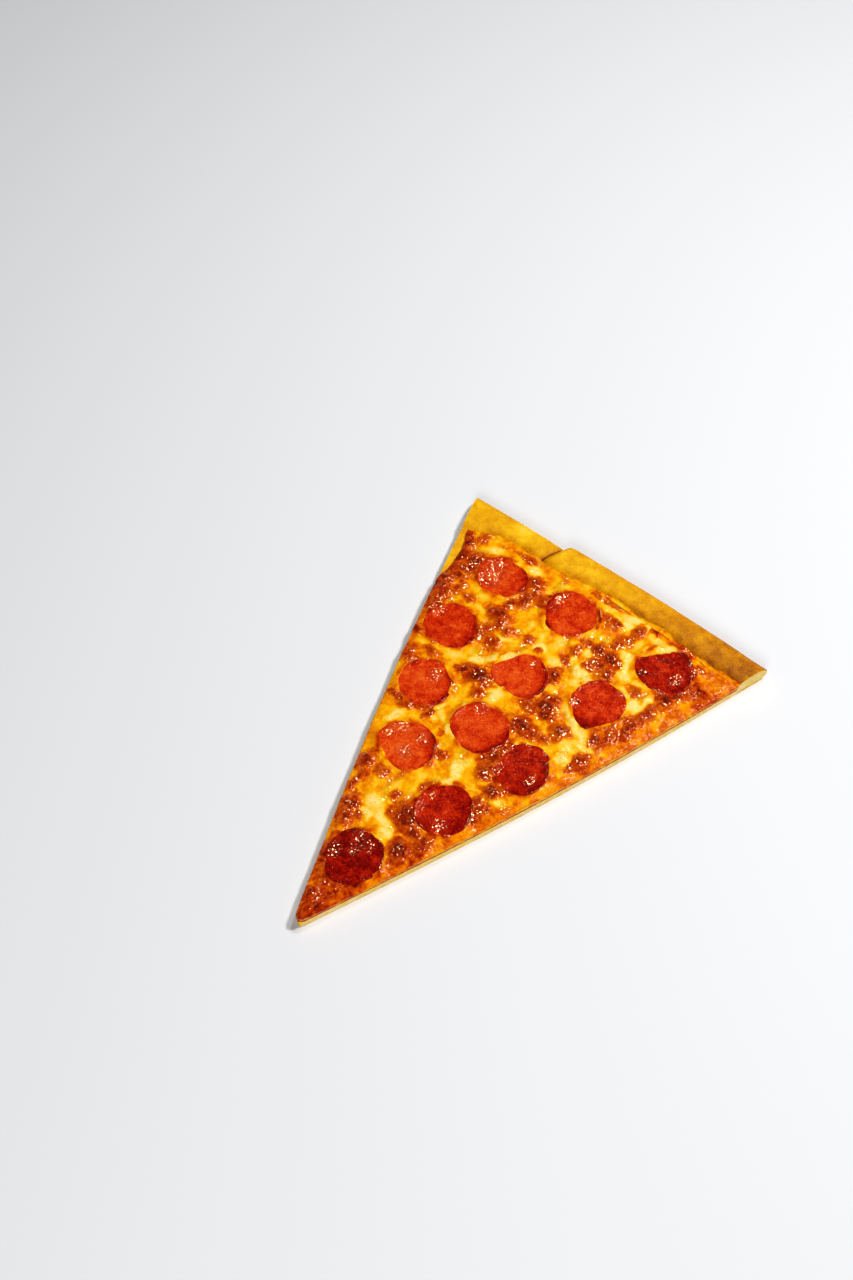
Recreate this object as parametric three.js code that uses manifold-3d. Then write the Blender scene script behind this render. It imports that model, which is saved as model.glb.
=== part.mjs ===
// A large pepperoni pizza slice lying flat: a hand-rolled dough base with its folded
// rim, a thin layer of tomato sauce, a blistered cheese layer and twelve slices of
// pepperoni bedded in the cheese. Millimetres, +Z up.
//
// Plan coordinates: the tip is at y = 0, the crust lies across the far end at +Y, and
// x = 0 is the line that halves the tip's angle. A place across the slice is a share of
// its half width there, from -1 on the left cut side to 1 on the right one. The exported
// group moves the model so that its origin is under the middle of the slice.
import * as THREE from 'three';
import { mergeVertices } from 'three/addons/utils/BufferGeometryUtils.js';
import Module from 'manifold-3d';

// ---- Driving dimensions ----
const LENGTH = 330; // tip to the outermost point of the crust
const TIP_ANGLE = 40.3; // degrees between the two cut sides
const TIP_WIDTH = 4; // the blunt end of the tip
const SIDE_BOW = 5; // how far each cut side bulges at mid-length
const GAP = 0.3; // clearance between neighbouring pieces

const BASE_THICKNESS = 5.5;
const SAUCE_THICKNESS = 1;
const CHEESE_THICKNESS = 3.5;

const RIM_HEIGHT = 14;
const RIM_LEFT_OUTER = 325; // tip to the outer edge of the left stretch of the rim
// The rim's outer edge is a shallow arch: how far it drops, and the place of its top.
const FOLD_ARCH = { drop: 3.2, top: 0.08 };
const LEFT_ARCH = { drop: 7, top: -0.65 };
const UNDER_RIM = 6; // how far the flat base runs on inside the rim
const FOLD_END = [-0.44, -0.34]; // where the fold ends, at the cheese and at the outer edge
const FOLD_OVERLAP = 0.12; // how far the left stretch runs on under the fold
const FOLD_ROUNDING = 0.06; // share of the fold's length that its rolled end takes
const FOLD_DROP = 0.86; // the left stretch's height, as a share of RIM_HEIGHT

// The line where the cheese meets the rim: place across the slice, distance from the tip.
const RIM_INNER = [
  [-1, 292], [-0.9, 295], [-0.69, 302.5], [-0.45, 303], [-0.25, 302.5],
  [-0.05, 307], [0.35, 306.5], [0.65, 304.5], [0.85, 302.5], [1, 303],
];

// The bare border of dough along the left cut side, below the rim: distance from the
// tip, width.
const BORDER = [[248, 0], [259, 3.5], [270, 6.6], [282, 7], [294, 4.7], [304, 4]];
const BORDER_HEIGHT = 9;
const BORDER_FADE = 8; // the length over which the clearance beside it grows
const LAYER_STOP = 0.42; // clearance between the layers' far end and the rim

const CHEESE_ROWS = 60; // rows of the cheese's triangle grid, tip to rim
// The cheese's gentle unevenness: its height, and each wave's length along X and Y.
const CHEESE_WAVE = 0.25;
const CHEESE_WAVES = [[9, 21], [-17, 8], [5.3, 5.3]];
const SIDE_MELT = 1.1; // how far the cheese slumps at the cut sides
const SIDE_MELT_WIDTH = 3;

// Baked blisters in the cheese: x, y, radius, height.
const BLISTERS = [
  [-85, 274, 9, 1.9], [-90, 250, 9, 1.4], [-39, 285, 8, 1.5], [-37, 268, 7, 1.4],
  [-42, 249, 8, 1.4], [37, 265, 10, 2], [82, 261, 9, 1.6], [16, 234, 7, 1.6],
  [27, 211, 11, 2], [44, 202, 8, 1.8], [21, 189, 9, 2], [-20, 203, 10, 2],
  [-32, 201, 7, 1.5], [67, 211, 8, 1.6], [20, 157, 7, 1.5], [36, 140, 7, 1.5],
  [8, 90, 12, 2.2], [17, 72, 9, 1.7], [-26, 75, 10, 1.7],
];

const PEPPERONI_THICKNESS = 1.9;
const PEPPERONI_SUNK = 0.9; // how deep each slice is bedded in the cheese
const PEPPERONI_CUP = 0.4; // how far a slice's edge curls above its middle
const PEPPERONI_SIDES = 22;
const POCKET_HEIGHT = 8; // the tool that cuts the pockets reaches this far up

// Each slice of pepperoni: centre, size along X and Y, and the three-sided lobe that
// makes it less round, with the angle in degrees that one lobe points to.
const PEPPERONI = [
  { at: [-60.5, 276], size: [36.5, 32.5], lobe: 0.02, lobeTo: 20 },
  { at: [-5, 280], size: [38.5, 36], lobe: 0.015, lobeTo: 60 },
  { at: [-62, 222], size: [36.5, 36], lobe: 0.025, lobeTo: -40 },
  { at: [69.5, 282], size: [39, 36.5], lobe: 0.035, lobeTo: 85 },
  { at: [-47, 175.5], size: [36.5, 35.5], lobe: 0.02, lobeTo: -25 },
  { at: [-2.5, 219.5], size: [38, 34], lobe: 0.04, lobeTo: 203 },
  { at: [50.5, 233], size: [36, 38], lobe: 0.025, lobeTo: 35 },
  { at: [2.5, 171], size: [38.5, 37], lobe: 0.015, lobeTo: 285 },
  { at: [-25, 131.5], size: [39, 35], lobe: 0.03, lobeTo: 200 },
  { at: [42, 163.5], size: [34.5, 38], lobe: 0.02, lobeTo: 90 },
  { at: [21.5, 110], size: [35, 38], lobe: 0.03, lobeTo: 90 },
  { at: [0, 51.5], size: [35.5, 38.5], lobe: 0.02, lobeTo: -90 },
];

// ---- Worked out from the driving dimensions ----
const SAUCE_BOTTOM = BASE_THICKNESS + GAP;
const CHEESE_BOTTOM = SAUCE_BOTTOM + SAUCE_THICKNESS + GAP;
const CHEESE_TOP = CHEESE_BOTTOM + CHEESE_THICKNESS;
const HALF_ANGLE = THREE.MathUtils.degToRad(TIP_ANGLE / 2);

const manifold = await Module();
manifold.setup();

// ---- Geometry helpers ----

/** Merges shared vertices and drops the triangles that this collapses. */
function weld(geometry) {
  geometry.deleteAttribute('normal');
  geometry.deleteAttribute('uv');
  const merged = mergeVertices(geometry, 1e-3);
  const corners = merged.index.array;
  const kept = [];
  for (let i = 0; i < corners.length; i += 3) {
    const [a, b, c] = corners.slice(i, i + 3);
    if (a !== b && b !== c && c !== a) kept.push(a, b, c);
  }
  merged.setIndex(kept);
  return merged;
}

function toSolid(geometry) {
  return new manifold.Manifold(new manifold.Mesh({
    numProp: 3,
    vertProperties: new Float32Array(geometry.attributes.position.array),
    triVerts: new Uint32Array(geometry.index.array),
  }));
}

function toGeometry(solid) {
  const mesh = solid.getMesh();
  const geometry = new THREE.BufferGeometry();
  geometry.setAttribute('position', new THREE.BufferAttribute(mesh.vertProperties, 3));
  geometry.setIndex(new THREE.BufferAttribute(mesh.triVerts, 1));
  return geometry;
}

/** Moves every vertex of a geometry by a function of its three coordinates. */
function mapVertices(geometry, place) {
  const position = geometry.attributes.position;
  for (let i = 0; i < position.count; i += 1) {
    const moved = place(position.getX(i), position.getY(i), position.getZ(i));
    position.setXYZ(i, ...moved);
  }
  return geometry;
}

function smoothCurve(points) {
  const curve = new THREE.CubicInterpolant(points.map(p => p[0]), points.map(p => p[1]), 1);
  return x => curve.evaluate(x)[0];
}

// ---- Plan of the slice ----

function halfWidth(y) {
  const along = y / LENGTH;
  const blunt = (TIP_WIDTH / 2) * (1 - along);
  return blunt + y * Math.tan(HALF_ANGLE) + SIDE_BOW * Math.sin(Math.PI * along);
}

const rimInner = smoothCurve(RIM_INNER);
const borderWidth = smoothCurve(BORDER);

function foldOuter(across) {
  return LENGTH - FOLD_ARCH.drop * (across - FOLD_ARCH.top) ** 2;
}

function leftOuter(across) {
  return RIM_LEFT_OUTER - LEFT_ARCH.drop * (across - LEFT_ARCH.top) ** 2;
}

/** x at a place across the whole slice. */
function doughAcross(across, y) {
  return across * halfWidth(y);
}

/** x at a place across the layers, which stop short of the border on the left. */
function layerAcross(across, y) {
  const start = BORDER[0][0];
  const clearance = GAP * THREE.MathUtils.smoothstep(y, start - BORDER_FADE, start);
  const left = borderWidth(y + 1) + clearance - halfWidth(y);
  return THREE.MathUtils.lerp(left, halfWidth(y), (across + 1) / 2);
}

/** A flat outline from the tip to the distance endAt(across) from it. */
function sliceOutline(acrossAt, endAt, sideSteps, endSteps) {
  const at = (across, y) => new THREE.Vector2(acrossAt(across, y), y);
  const outline = [];
  for (let i = 0; i < sideSteps; i += 1) outline.push(at(1, (endAt(1) * i) / sideSteps));
  for (let i = 0; i <= endSteps; i += 1) {
    const across = 1 - (2 * i) / endSteps;
    outline.push(at(across, endAt(across)));
  }
  for (let i = sideSteps - 1; i >= 0; i -= 1) outline.push(at(-1, (endAt(-1) * i) / sideSteps));
  return new THREE.Shape(outline);
}

function flatLayer(outline, bottom, thickness) {
  const layer = new THREE.ExtrudeGeometry(outline, { depth: thickness, bevelEnabled: false });
  return weld(layer.translate(0, 0, bottom));
}

// ---- Dough ----

/** The rim's section: across from the cheese (0) to the outer edge (1), and up (0 to 1). */
function rimSection() {
  const section = new THREE.Shape();
  section.moveTo(0, 0);
  section.lineTo(0.9, 0);
  section.bezierCurveTo(0.98, 0.05, 1, 0.2, 1, 0.45);
  section.bezierCurveTo(1, 0.82, 0.84, 1, 0.5, 1);
  section.bezierCurveTo(0.24, 1, 0.03, 0.93, 0, 0.7);
  return section;
}

/**
 * A stretch of the rim, swept across the slice. `from` and `to` give its ends as places
 * across the slice, for a share of the way from the cheese to the outer edge; `height`
 * gives its height and `open` how open its section is, both for a share of its length.
 */
function rimStretch({ from, to, outer, height, open, steps }) {
  const sweep = new THREE.ExtrudeGeometry(rimSection(), {
    depth: 1, steps, curveSegments: 4, bevelEnabled: false,
  });
  const placed = mapVertices(sweep, (outward, up, along) => {
    const squeezed = 0.5 + (outward - 0.5) * open(along);
    const across = THREE.MathUtils.lerp(from(squeezed), to(squeezed), along);
    const y = THREE.MathUtils.lerp(rimInner(across), outer(across), squeezed);
    const z = up * height(along) * open(along);
    return [doughAcross(across, y), y, z];
  });
  return weld(placed);
}

function foldEnd(outward) {
  return THREE.MathUtils.lerp(FOLD_END[0], FOLD_END[1], outward);
}

function leftStretch() {
  return rimStretch({
    from: () => -1,
    to: outward => foldEnd(outward) + FOLD_OVERLAP,
    outer: leftOuter,
    height: along => RIM_HEIGHT * (FOLD_DROP + 0.02 * Math.sin(7 * along)),
    open: () => 1,
    steps: 22,
  });
}

function foldStretch() {
  return rimStretch({
    from: foldEnd,
    to: () => 1,
    outer: foldOuter,
    height: along => RIM_HEIGHT * (0.98 + 0.02 * Math.cos(9 * along)),
    open: along => {
      const inside = Math.min(1, along / FOLD_ROUNDING);
      return 0.5 + 0.5 * Math.sqrt(1 - (1 - inside) ** 2);
    },
    steps: 40,
  });
}

/** The bare strip of dough between the layers and the left cut side. */
function borderStrip() {
  const steps = 14;
  const start = BORDER[0][0];
  const end = BORDER[BORDER.length - 1][0];
  const rows = Array.from({ length: steps + 1 }, (_, i) => start + ((end - start) * i) / steps);
  const cutSide = rows.map(y => new THREE.Vector2(-halfWidth(y), y));
  const inner = rows.slice(1).map(y => new THREE.Vector2(borderWidth(y) - halfWidth(y), y));
  return flatLayer(new THREE.Shape([...cutSide, ...inner.reverse()]), 0, BORDER_HEIGHT);
}

function doughGeometry() {
  const outline = sliceOutline(doughAcross, across => rimInner(across) + UNDER_RIM, 12, 12);
  const base = flatLayer(outline, 0, BASE_THICKNESS);
  const pieces = [base, borderStrip(), leftStretch(), foldStretch()];
  return toGeometry(manifold.Manifold.union(pieces.map(toSolid)));
}

// ---- Sauce ----

/** The far end of the layers that lie on the dough, just short of the rim. */
function layerEnd(across) {
  const corner = RIM_INNER[0][1];
  return rimInner(layerAcross(across, corner) / halfWidth(corner)) - LAYER_STOP;
}

function sauceGeometry() {
  const outline = sliceOutline(layerAcross, layerEnd, 60, 60);
  return flatLayer(outline, SAUCE_BOTTOM, SAUCE_THICKNESS);
}

// ---- Cheese ----

function blisterHeight(x, y) {
  return BLISTERS.reduce((height, [bx, by, radius, rise]) => {
    const away = Math.min(1, Math.hypot(x - bx, y - by) / radius);
    return Math.max(height, rise * (1 - away ** 2) ** 1.5);
  }, 0);
}

/** Height of the cheese's surface without its blisters. */
function cheeseSurface(x, y) {
  const waves = CHEESE_WAVES.map(([alongX, alongY]) => Math.sin(x / alongX + y / alongY));
  return CHEESE_TOP + CHEESE_WAVE * waves.reduce((sum, wave) => sum + wave, 0);
}

function cheeseTop(x, y) {
  const fromSide = Math.min(halfWidth(y) - x, x - layerAcross(-1, y));
  const slump = SIDE_MELT * Math.exp(-((fromSide / SIDE_MELT_WIDTH) ** 2));
  return cheeseSurface(x, y) + blisterHeight(x, y) - slump;
}

/** The layer as two triangle grids, one above the other, closed round their edge. */
function cheeseLayer() {
  const spots = [];
  const spot = (row, i) => (row * (row + 1)) / 2 - 1 + i;
  for (let row = 1; row <= CHEESE_ROWS; row += 1) {
    for (let i = 0; i <= row; i += 1) {
      const across = (2 * i) / row - 1;
      const y = (layerEnd(across) * (row - 1)) / (CHEESE_ROWS - 1);
      spots.push([layerAcross(across, y), y]);
    }
  }
  const top = [];
  for (let row = 1; row < CHEESE_ROWS; row += 1) {
    for (let i = 0; i <= row; i += 1) {
      top.push([spot(row, i), spot(row + 1, i + 1), spot(row + 1, i)]);
      if (i < row) top.push([spot(row, i), spot(row, i + 1), spot(row + 1, i + 1)]);
    }
  }
  const rim = [];
  for (let row = 1; row < CHEESE_ROWS; row += 1) rim.push(spot(row, row));
  for (let i = CHEESE_ROWS; i > 0; i -= 1) rim.push(spot(CHEESE_ROWS, i));
  for (let row = CHEESE_ROWS; row >= 1; row -= 1) rim.push(spot(row, 0));

  const outline = rim.map(s => new THREE.Vector2(...spots[s]));
  const count = spots.length;
  const position = spots.flatMap(([x, y]) => [x, y, cheeseTop(x, y)]);
  outline.forEach(p => position.push(p.x, p.y, CHEESE_BOTTOM));
  const index = top.flat();
  rim.forEach((s, i) => {
    const next = (i + 1) % rim.length;
    index.push(s, count + i, count + next, s, count + next, rim[next]);
  });
  THREE.ShapeUtils.triangulateShape(outline, []).forEach(([a, b, c]) => {
    index.push(count + a, count + c, count + b);
  });
  const geometry = new THREE.BufferGeometry();
  geometry.setAttribute('position', new THREE.Float32BufferAttribute(position, 3));
  geometry.setIndex(index);
  return geometry;
}

function cheeseGeometry() {
  const layer = toSolid(cheeseLayer());
  const pockets = PEPPERONI.map(spec => pepperoniGeometry(spec, POCKET_SECTION, GAP));
  return toGeometry(pockets.reduce((left, pocket) => left.subtract(toSolid(pocket)), layer));
}

// ---- Pepperoni ----

/** A slice's section, from the middle of its underside out round its edge. */
const SLICE_SECTION = [
  [0, 0], [0.6, 0], [0.96, 0], [1, 0.4], [0.96, 0.9], [0.6, 1], [0, 1],
].map(([share, up]) => new THREE.Vector2(share, up * PEPPERONI_THICKNESS));

/** The section of the pocket for a slice, open well above the cheese. */
const POCKET_SECTION = [
  [0, -GAP], [0.6, -GAP], [1, -GAP], [1, POCKET_HEIGHT], [0, POCKET_HEIGHT],
].map(([share, up]) => new THREE.Vector2(share, up));

/** A section turned about a slice's middle, out to its outline plus a clearance. */
function pepperoniGeometry({ at, size, lobe, lobeTo }, section, clearance) {
  const [cx, cy] = at;
  const lobeAngle = THREE.MathUtils.degToRad(lobeTo);
  const bed = cheeseSurface(cx, cy) - PEPPERONI_SUNK;
  const disc = new THREE.LatheGeometry(section, PEPPERONI_SIDES);
  const placed = mapVertices(disc.rotateX(Math.PI / 2), (x, y, z) => {
    const share = Math.hypot(x, y);
    const angle = Math.atan2(y, x);
    const ellipse = 0.5 / Math.hypot(Math.cos(angle) / size[0], Math.sin(angle) / size[1]);
    const radius = ellipse * (1 + lobe * Math.cos(3 * (angle - lobeAngle))) + clearance;
    const curl = PEPPERONI_CUP * share ** 2 * (1 + 0.5 * Math.cos(2 * (angle + lobeAngle)));
    return [
      cx + radius * share * Math.cos(angle),
      cy + radius * share * Math.sin(angle),
      bed + z + curl,
    ];
  });
  return weld(placed);
}

// ---- The slice ----

const CRUST = new THREE.MeshStandardMaterial({ color: 0xe0a02a, roughness: 0.7 });
const SAUCE = new THREE.MeshStandardMaterial({ color: 0xb3300f, roughness: 0.35 });
const CHEESE = new THREE.MeshStandardMaterial({ color: 0xf2960f, roughness: 0.3 });
const PEPPERONI_RED = new THREE.MeshStandardMaterial({ color: 0xb8260f, roughness: 0.3 });

function piece(name, geometry, material) {
  geometry.computeVertexNormals();
  const mesh = new THREE.Mesh(geometry, material);
  mesh.name = name;
  return mesh;
}

const slice = new THREE.Group();
slice.add(
  piece('dough', doughGeometry(), CRUST),
  piece('tomato_sauce', sauceGeometry(), SAUCE),
  piece('cheese', cheeseGeometry(), CHEESE),
);
PEPPERONI.forEach((spec, i) => {
  const name = `pepperoni_${String(i + 1).padStart(2, '0')}`;
  slice.add(piece(name, pepperoniGeometry(spec, SLICE_SECTION, 0), PEPPERONI_RED));
});
slice.position.y = -LENGTH / 2;

export default slice;
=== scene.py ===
"""A pepperoni pizza slice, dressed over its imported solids."""
import math

import bmesh
import bpy
import numpy as np
from bpy.props import FloatProperty, FloatVectorProperty, IntProperty, PointerProperty
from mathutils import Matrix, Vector


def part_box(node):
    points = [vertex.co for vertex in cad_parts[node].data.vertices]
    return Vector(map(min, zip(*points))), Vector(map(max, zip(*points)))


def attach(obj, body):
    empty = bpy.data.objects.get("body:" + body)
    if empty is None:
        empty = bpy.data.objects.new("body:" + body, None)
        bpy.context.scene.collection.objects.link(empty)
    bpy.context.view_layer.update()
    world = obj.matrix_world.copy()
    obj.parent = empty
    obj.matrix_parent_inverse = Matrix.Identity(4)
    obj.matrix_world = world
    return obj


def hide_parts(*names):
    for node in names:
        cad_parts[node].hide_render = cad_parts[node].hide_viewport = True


bl_info = {
    "name": "Pepperoni Pizza Slice",
    "version": (1, 0, 0),
    "blender": (4, 5, 0),
    "location": "3D View > Sidebar > Pizza",
    "description": "Dresses a pepperoni pizza slice over its packed solids",
    "category": "Add Mesh",
}

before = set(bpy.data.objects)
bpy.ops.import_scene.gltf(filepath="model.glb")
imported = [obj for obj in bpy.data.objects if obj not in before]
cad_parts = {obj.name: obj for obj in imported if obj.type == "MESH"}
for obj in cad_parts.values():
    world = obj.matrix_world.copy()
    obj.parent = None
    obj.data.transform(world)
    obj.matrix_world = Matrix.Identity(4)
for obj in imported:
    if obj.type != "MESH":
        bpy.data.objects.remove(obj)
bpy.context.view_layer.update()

MM = 0.001
PEPPERONI_NODES = sorted(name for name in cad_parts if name.startswith("pepperoni"))


def node_heights(name):
    """Lowest and highest point of a solid, in millimetres."""
    low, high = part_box(name)
    return low.z / MM, high.z / MM


# ---- Plan of the slice ----
# Millimetres: y runs from the tip, at 0, to the crust, and x = 0 halves the tip's angle.
# A place across the slice is a share of its half width, from -1 on the left cut side.

LENGTH = (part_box("dough")[1].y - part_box("dough")[0].y) / MM
MIDDLE = -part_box("dough")[0].y / MM
HALF_ANGLE = math.radians(20.15)
TIP_HALF = 2.0
TIP_ROUNDING = 2.5
TIP_SPARE = 0.02  # keeps the end of the tip from closing to a line
SIDE_BOW = 5.0
BASE_TOP = 5.5
BORDER_TOP = 9.0
SAUCE_LOW, SAUCE_HIGH = node_heights("tomato_sauce")
CHEESE_LOW = node_heights("cheese")[0]
CHEESE_TOP = CHEESE_LOW + 3.5
RIM_HEIGHT = node_heights("dough")[1]
LEFT_RIM, FOLD_RIM = 0.86, 0.97  # shares of the rim's height
OVERLAP = 0.25  # how far each layer reaches into the next, which closes the solids' gaps

RIM_INNER = [(-1, 292), (-0.9, 295), (-0.69, 302.5), (-0.45, 303), (-0.25, 302.5),
             (-0.05, 307), (0.35, 306.5), (0.65, 304.5), (0.85, 302.5), (1, 303)]
BORDER = [(248, 0), (259, 3.5), (270, 6.6), (282, 7), (294, 4.7), (304, 4)]
FOLD_START = (-0.44, -0.34)


def smooth_curve(points, at):
    """A smooth curve through points, sloping at each one as its neighbours do."""
    x, y = np.array(points, float).T
    slope = np.empty_like(x)
    slope[1:-1] = (y[2:] - y[:-2]) / (x[2:] - x[:-2])
    slope[0] = 1.5 * (y[1] - y[0]) / (x[1] - x[0]) - 0.5 * slope[1]
    slope[-1] = 1.5 * (y[-1] - y[-2]) / (x[-1] - x[-2]) - 0.5 * slope[-2]
    at = np.clip(at, x[0], x[-1])
    left = np.clip(np.searchsorted(x, at, side="right") - 1, 0, len(x) - 2)
    step = x[left + 1] - x[left]
    t = (at - x[left]) / step
    rise = (1 + 2 * t) * (1 - t) ** 2 * y[left] + t * t * (3 - 2 * t) * y[left + 1]
    bend = t * (1 - t) ** 2 * slope[left] + t * t * (t - 1) * slope[left + 1]
    return rise + step * bend


def fade(value, start, end):
    """0 at start, 1 at end, smooth between."""
    t = np.clip((value - start) / (end - start), 0, 1)
    return t * t * (3 - 2 * t)


def bell(distance, width):
    """1 at no distance, about a third at width, nothing at 3 times that."""
    return np.exp(-(distance / width) ** 2)


def mix(a, b, share):
    return a + (b - a) * share


def half_width(y):
    along = y / LENGTH
    straight = TIP_HALF * (1 - along) + y * math.tan(HALF_ANGLE)
    return straight + SIDE_BOW * np.sin(np.pi * along)


def rim_inner(across):
    return smooth_curve(RIM_INNER, across)


def border_width(y):
    return np.where(y < BORDER[0][0], 0, smooth_curve(BORDER, y))


def left_outer(across):
    return 325 - 7 * (across + 0.65) ** 2


def fold_outer(across):
    return LENGTH - 3.2 * (across - 0.08) ** 2


def rim_outer(across):
    """Outer edge of the crust, which steps out where the fold starts."""
    step = fade(across, FOLD_START[1] - 0.025, FOLD_START[1] + 0.03)
    return mix(left_outer(across), fold_outer(across), step)


def tip_share(y):
    """Narrows the last millimetres of the tip to a round end."""
    t = np.clip((y + TIP_SPARE) / TIP_ROUNDING, 0, 1)
    return np.sqrt(1 - (1 - t) ** 2)


def cloud(x, y, size, seed):
    """Smooth random field, about -1 to 1, with features about as wide as size."""
    cells = 64
    angle = np.random.default_rng(seed).uniform(0, 2 * np.pi, (cells, cells))
    u, v = x / size, y / size
    i, j = np.floor(u).astype(int), np.floor(v).astype(int)
    u, v = u - i, v - j
    fade_u, fade_v = (t ** 3 * (t * (t * 6 - 15) + 10) for t in (u, v))

    def corner(di, dj):
        turn = angle[(i + di) % cells, (j + dj) % cells]
        return np.cos(turn) * (u - di) + np.sin(turn) * (v - dj)

    low = mix(corner(0, 0), corner(1, 0), fade_u)
    high = mix(corner(0, 1), corner(1, 1), fade_u)
    return 1.5 * mix(low, high, fade_v)


def clouds(x, y, *layers):
    """A sum of random fields, each given by its height, size and seed."""
    return sum(height * cloud(x, y, size, seed) for height, size, seed in layers)


def creases(x, y, size, seed):
    """Narrow ridges, 0 to 1, between wider dips."""
    return 1 - np.abs(cloud(x, y, size, seed)) * 1.6


# ---- Meshes ----

# Rings of faces down the sides of each layer.
DOUGH_LEVELS, SAUCE_LEVELS, CHEESE_LEVELS = 8, 4, 6


def triangle_block(rows, levels):
    """
    A closed block on a triangle split into rows of even small triangles: the tip at
    (0, 0), the far corners at (-1, 1) and (1, 1), and its walls going down by 1.
    """
    bm = bmesh.new()
    bmesh.ops.create_circle(bm, cap_ends=True, radius=1, segments=3)
    for vert, corner in zip(bm.verts, ((0, 0, 0), (1, 1, 0), (-1, 1, 0))):
        vert.co = corner
    bmesh.ops.subdivide_edges(bm, edges=bm.edges[:], cuts=rows - 1, use_grid_fill=True)
    loop = [edge for edge in bm.edges if edge.is_boundary]
    for _ in range(levels):
        made = bmesh.ops.extrude_edge_only(bm, edges=loop)["geom"]
        verts = [item for item in made if isinstance(item, bmesh.types.BMVert)]
        bmesh.ops.translate(bm, verts=verts, vec=(0, 0, -1 / levels))
        loop = [item for item in made if isinstance(item, bmesh.types.BMEdge) and item.is_boundary]
    bottom = bmesh.ops.edgeloop_fill(bm, edges=loop)["faces"]
    bmesh.ops.triangulate(bm, faces=bottom)
    bmesh.ops.recalc_face_normals(bm, faces=bm.faces[:])
    return bm


def coordinates(bm):
    return np.array([vert.co[:] for vert in bm.verts])


def make_piece(name, bm, places, fields, material, nodes, sharp_angle=60):
    """Turns a bmesh into a piece: places in millimetres, fields as named attributes."""
    mesh = bpy.data.meshes.new(name)
    bm.to_mesh(mesh)
    bm.free()
    places = np.column_stack([places[0], places[1] - MIDDLE, places[2]]) * MM
    mesh.vertices.foreach_set("co", places.ravel())
    for title, values in fields.items():
        attribute = mesh.attributes.new(title, "FLOAT", "POINT")
        attribute.data.foreach_set("value", np.broadcast_to(values, len(places)).astype(float))
    mesh.polygons.foreach_set("use_smooth", np.ones(len(mesh.polygons), bool))
    mesh.set_sharp_from_angle(angle=math.radians(sharp_angle))
    mesh.materials.append(material)
    mesh.update()
    piece = bpy.data.objects.new(name, mesh)
    bpy.context.scene.collection.objects.link(piece)
    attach(piece, "root")
    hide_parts(*nodes)
    return piece


# ---- Materials ----

EYE = 2.2  # steps in this root of the light look even to the eye
OIL_IOR = 1.8  # above real oil's 1.47, for brighter sparkles


def linear(red, green, blue):
    """A screen colour, 0 to 255, as the shader's linear one."""
    share = [value / 255 for value in (red, green, blue)]
    return [s / 12.92 if s <= 0.04045 else ((s + 0.055) / 1.055) ** 2.4 for s in share]


def new_material(name):
    material = bpy.data.materials.new(name)
    material.use_nodes = True
    tree = material.node_tree
    shader = tree.nodes["Principled BSDF"]
    return material, tree, shader


def feed(tree, node, inputs):
    """Sets a node's inputs, which are numbers, or sockets to link from."""
    for key, value in inputs.items():
        if isinstance(value, bpy.types.NodeSocket):
            tree.links.new(value, node.inputs[key])
        else:
            node.inputs[key].default_value = value


def add_node(tree, kind, inputs=None, **settings):
    made = tree.nodes.new(kind)
    for key, value in settings.items():
        setattr(made, key, value)
    feed(tree, made, inputs or {})
    return made


def math_node(tree, operation, *values):
    inputs = dict(enumerate(values))
    return add_node(tree, "ShaderNodeMath", inputs, operation=operation).outputs[0]


def noise_node(tree, size_mm, detail=3.0, roughness=0.55, distortion=0.0):
    """Noise on the piece's own place, its features about size_mm wide; 0 to 1."""
    place = add_node(tree, "ShaderNodeTexCoord").outputs["Object"]
    inputs = {"Vector": place, "Scale": 1 / (size_mm * MM), "Detail": detail,
              "Roughness": roughness, "Distortion": distortion}
    return add_node(tree, "ShaderNodeTexNoise", inputs).outputs["Fac"]


def attribute_node(tree, title):
    return add_node(tree, "ShaderNodeAttribute", attribute_name=title).outputs["Fac"]


def ramp_node(tree, factor, stops):
    """A colour ramp through (position, colour) stops, which steps evenly for the eye."""
    full = list(stops[:1])
    for (start, first), (end, last) in zip(stops, stops[1:]):
        middle = [((a ** (1 / EYE) + b ** (1 / EYE)) / 2) ** EYE for a, b in zip(first, last)]
        full += [((start + end) / 2, middle), (end, last)]
    made = add_node(tree, "ShaderNodeValToRGB", {"Fac": factor})
    elements = made.color_ramp.elements
    while len(elements) < len(full):
        elements.new(0.5)
    for element, (position, colour) in zip(elements, full):
        element.position = position
        element.color = (*colour, 1.0)
    return made.outputs["Color"]


def range_node(tree, value, low, high):
    """Maps 0..1 to low..high."""
    return add_node(tree, "ShaderNodeMapRange", {0: value, 3: low, 4: high}).outputs[0]


def step_node(tree, value, start, end):
    """0 below start, 1 above end, smooth between."""
    return add_node(tree, "ShaderNodeMapRange", {0: value, 1: start, 2: end},
                    interpolation_type="SMOOTHSTEP").outputs[0]


def mix_node(tree, share, a, b):
    return add_node(tree, "ShaderNodeMix", {0: share, 2: a, 3: b}).outputs[0]


def bump_node(tree, height, distance_mm, strength=1.0, normal=None):
    inputs = {"Height": height, "Distance": distance_mm * MM, "Strength": strength}
    if normal is not None:
        inputs["Normal"] = normal
    return add_node(tree, "ShaderNodeBump", inputs).outputs["Normal"]


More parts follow.
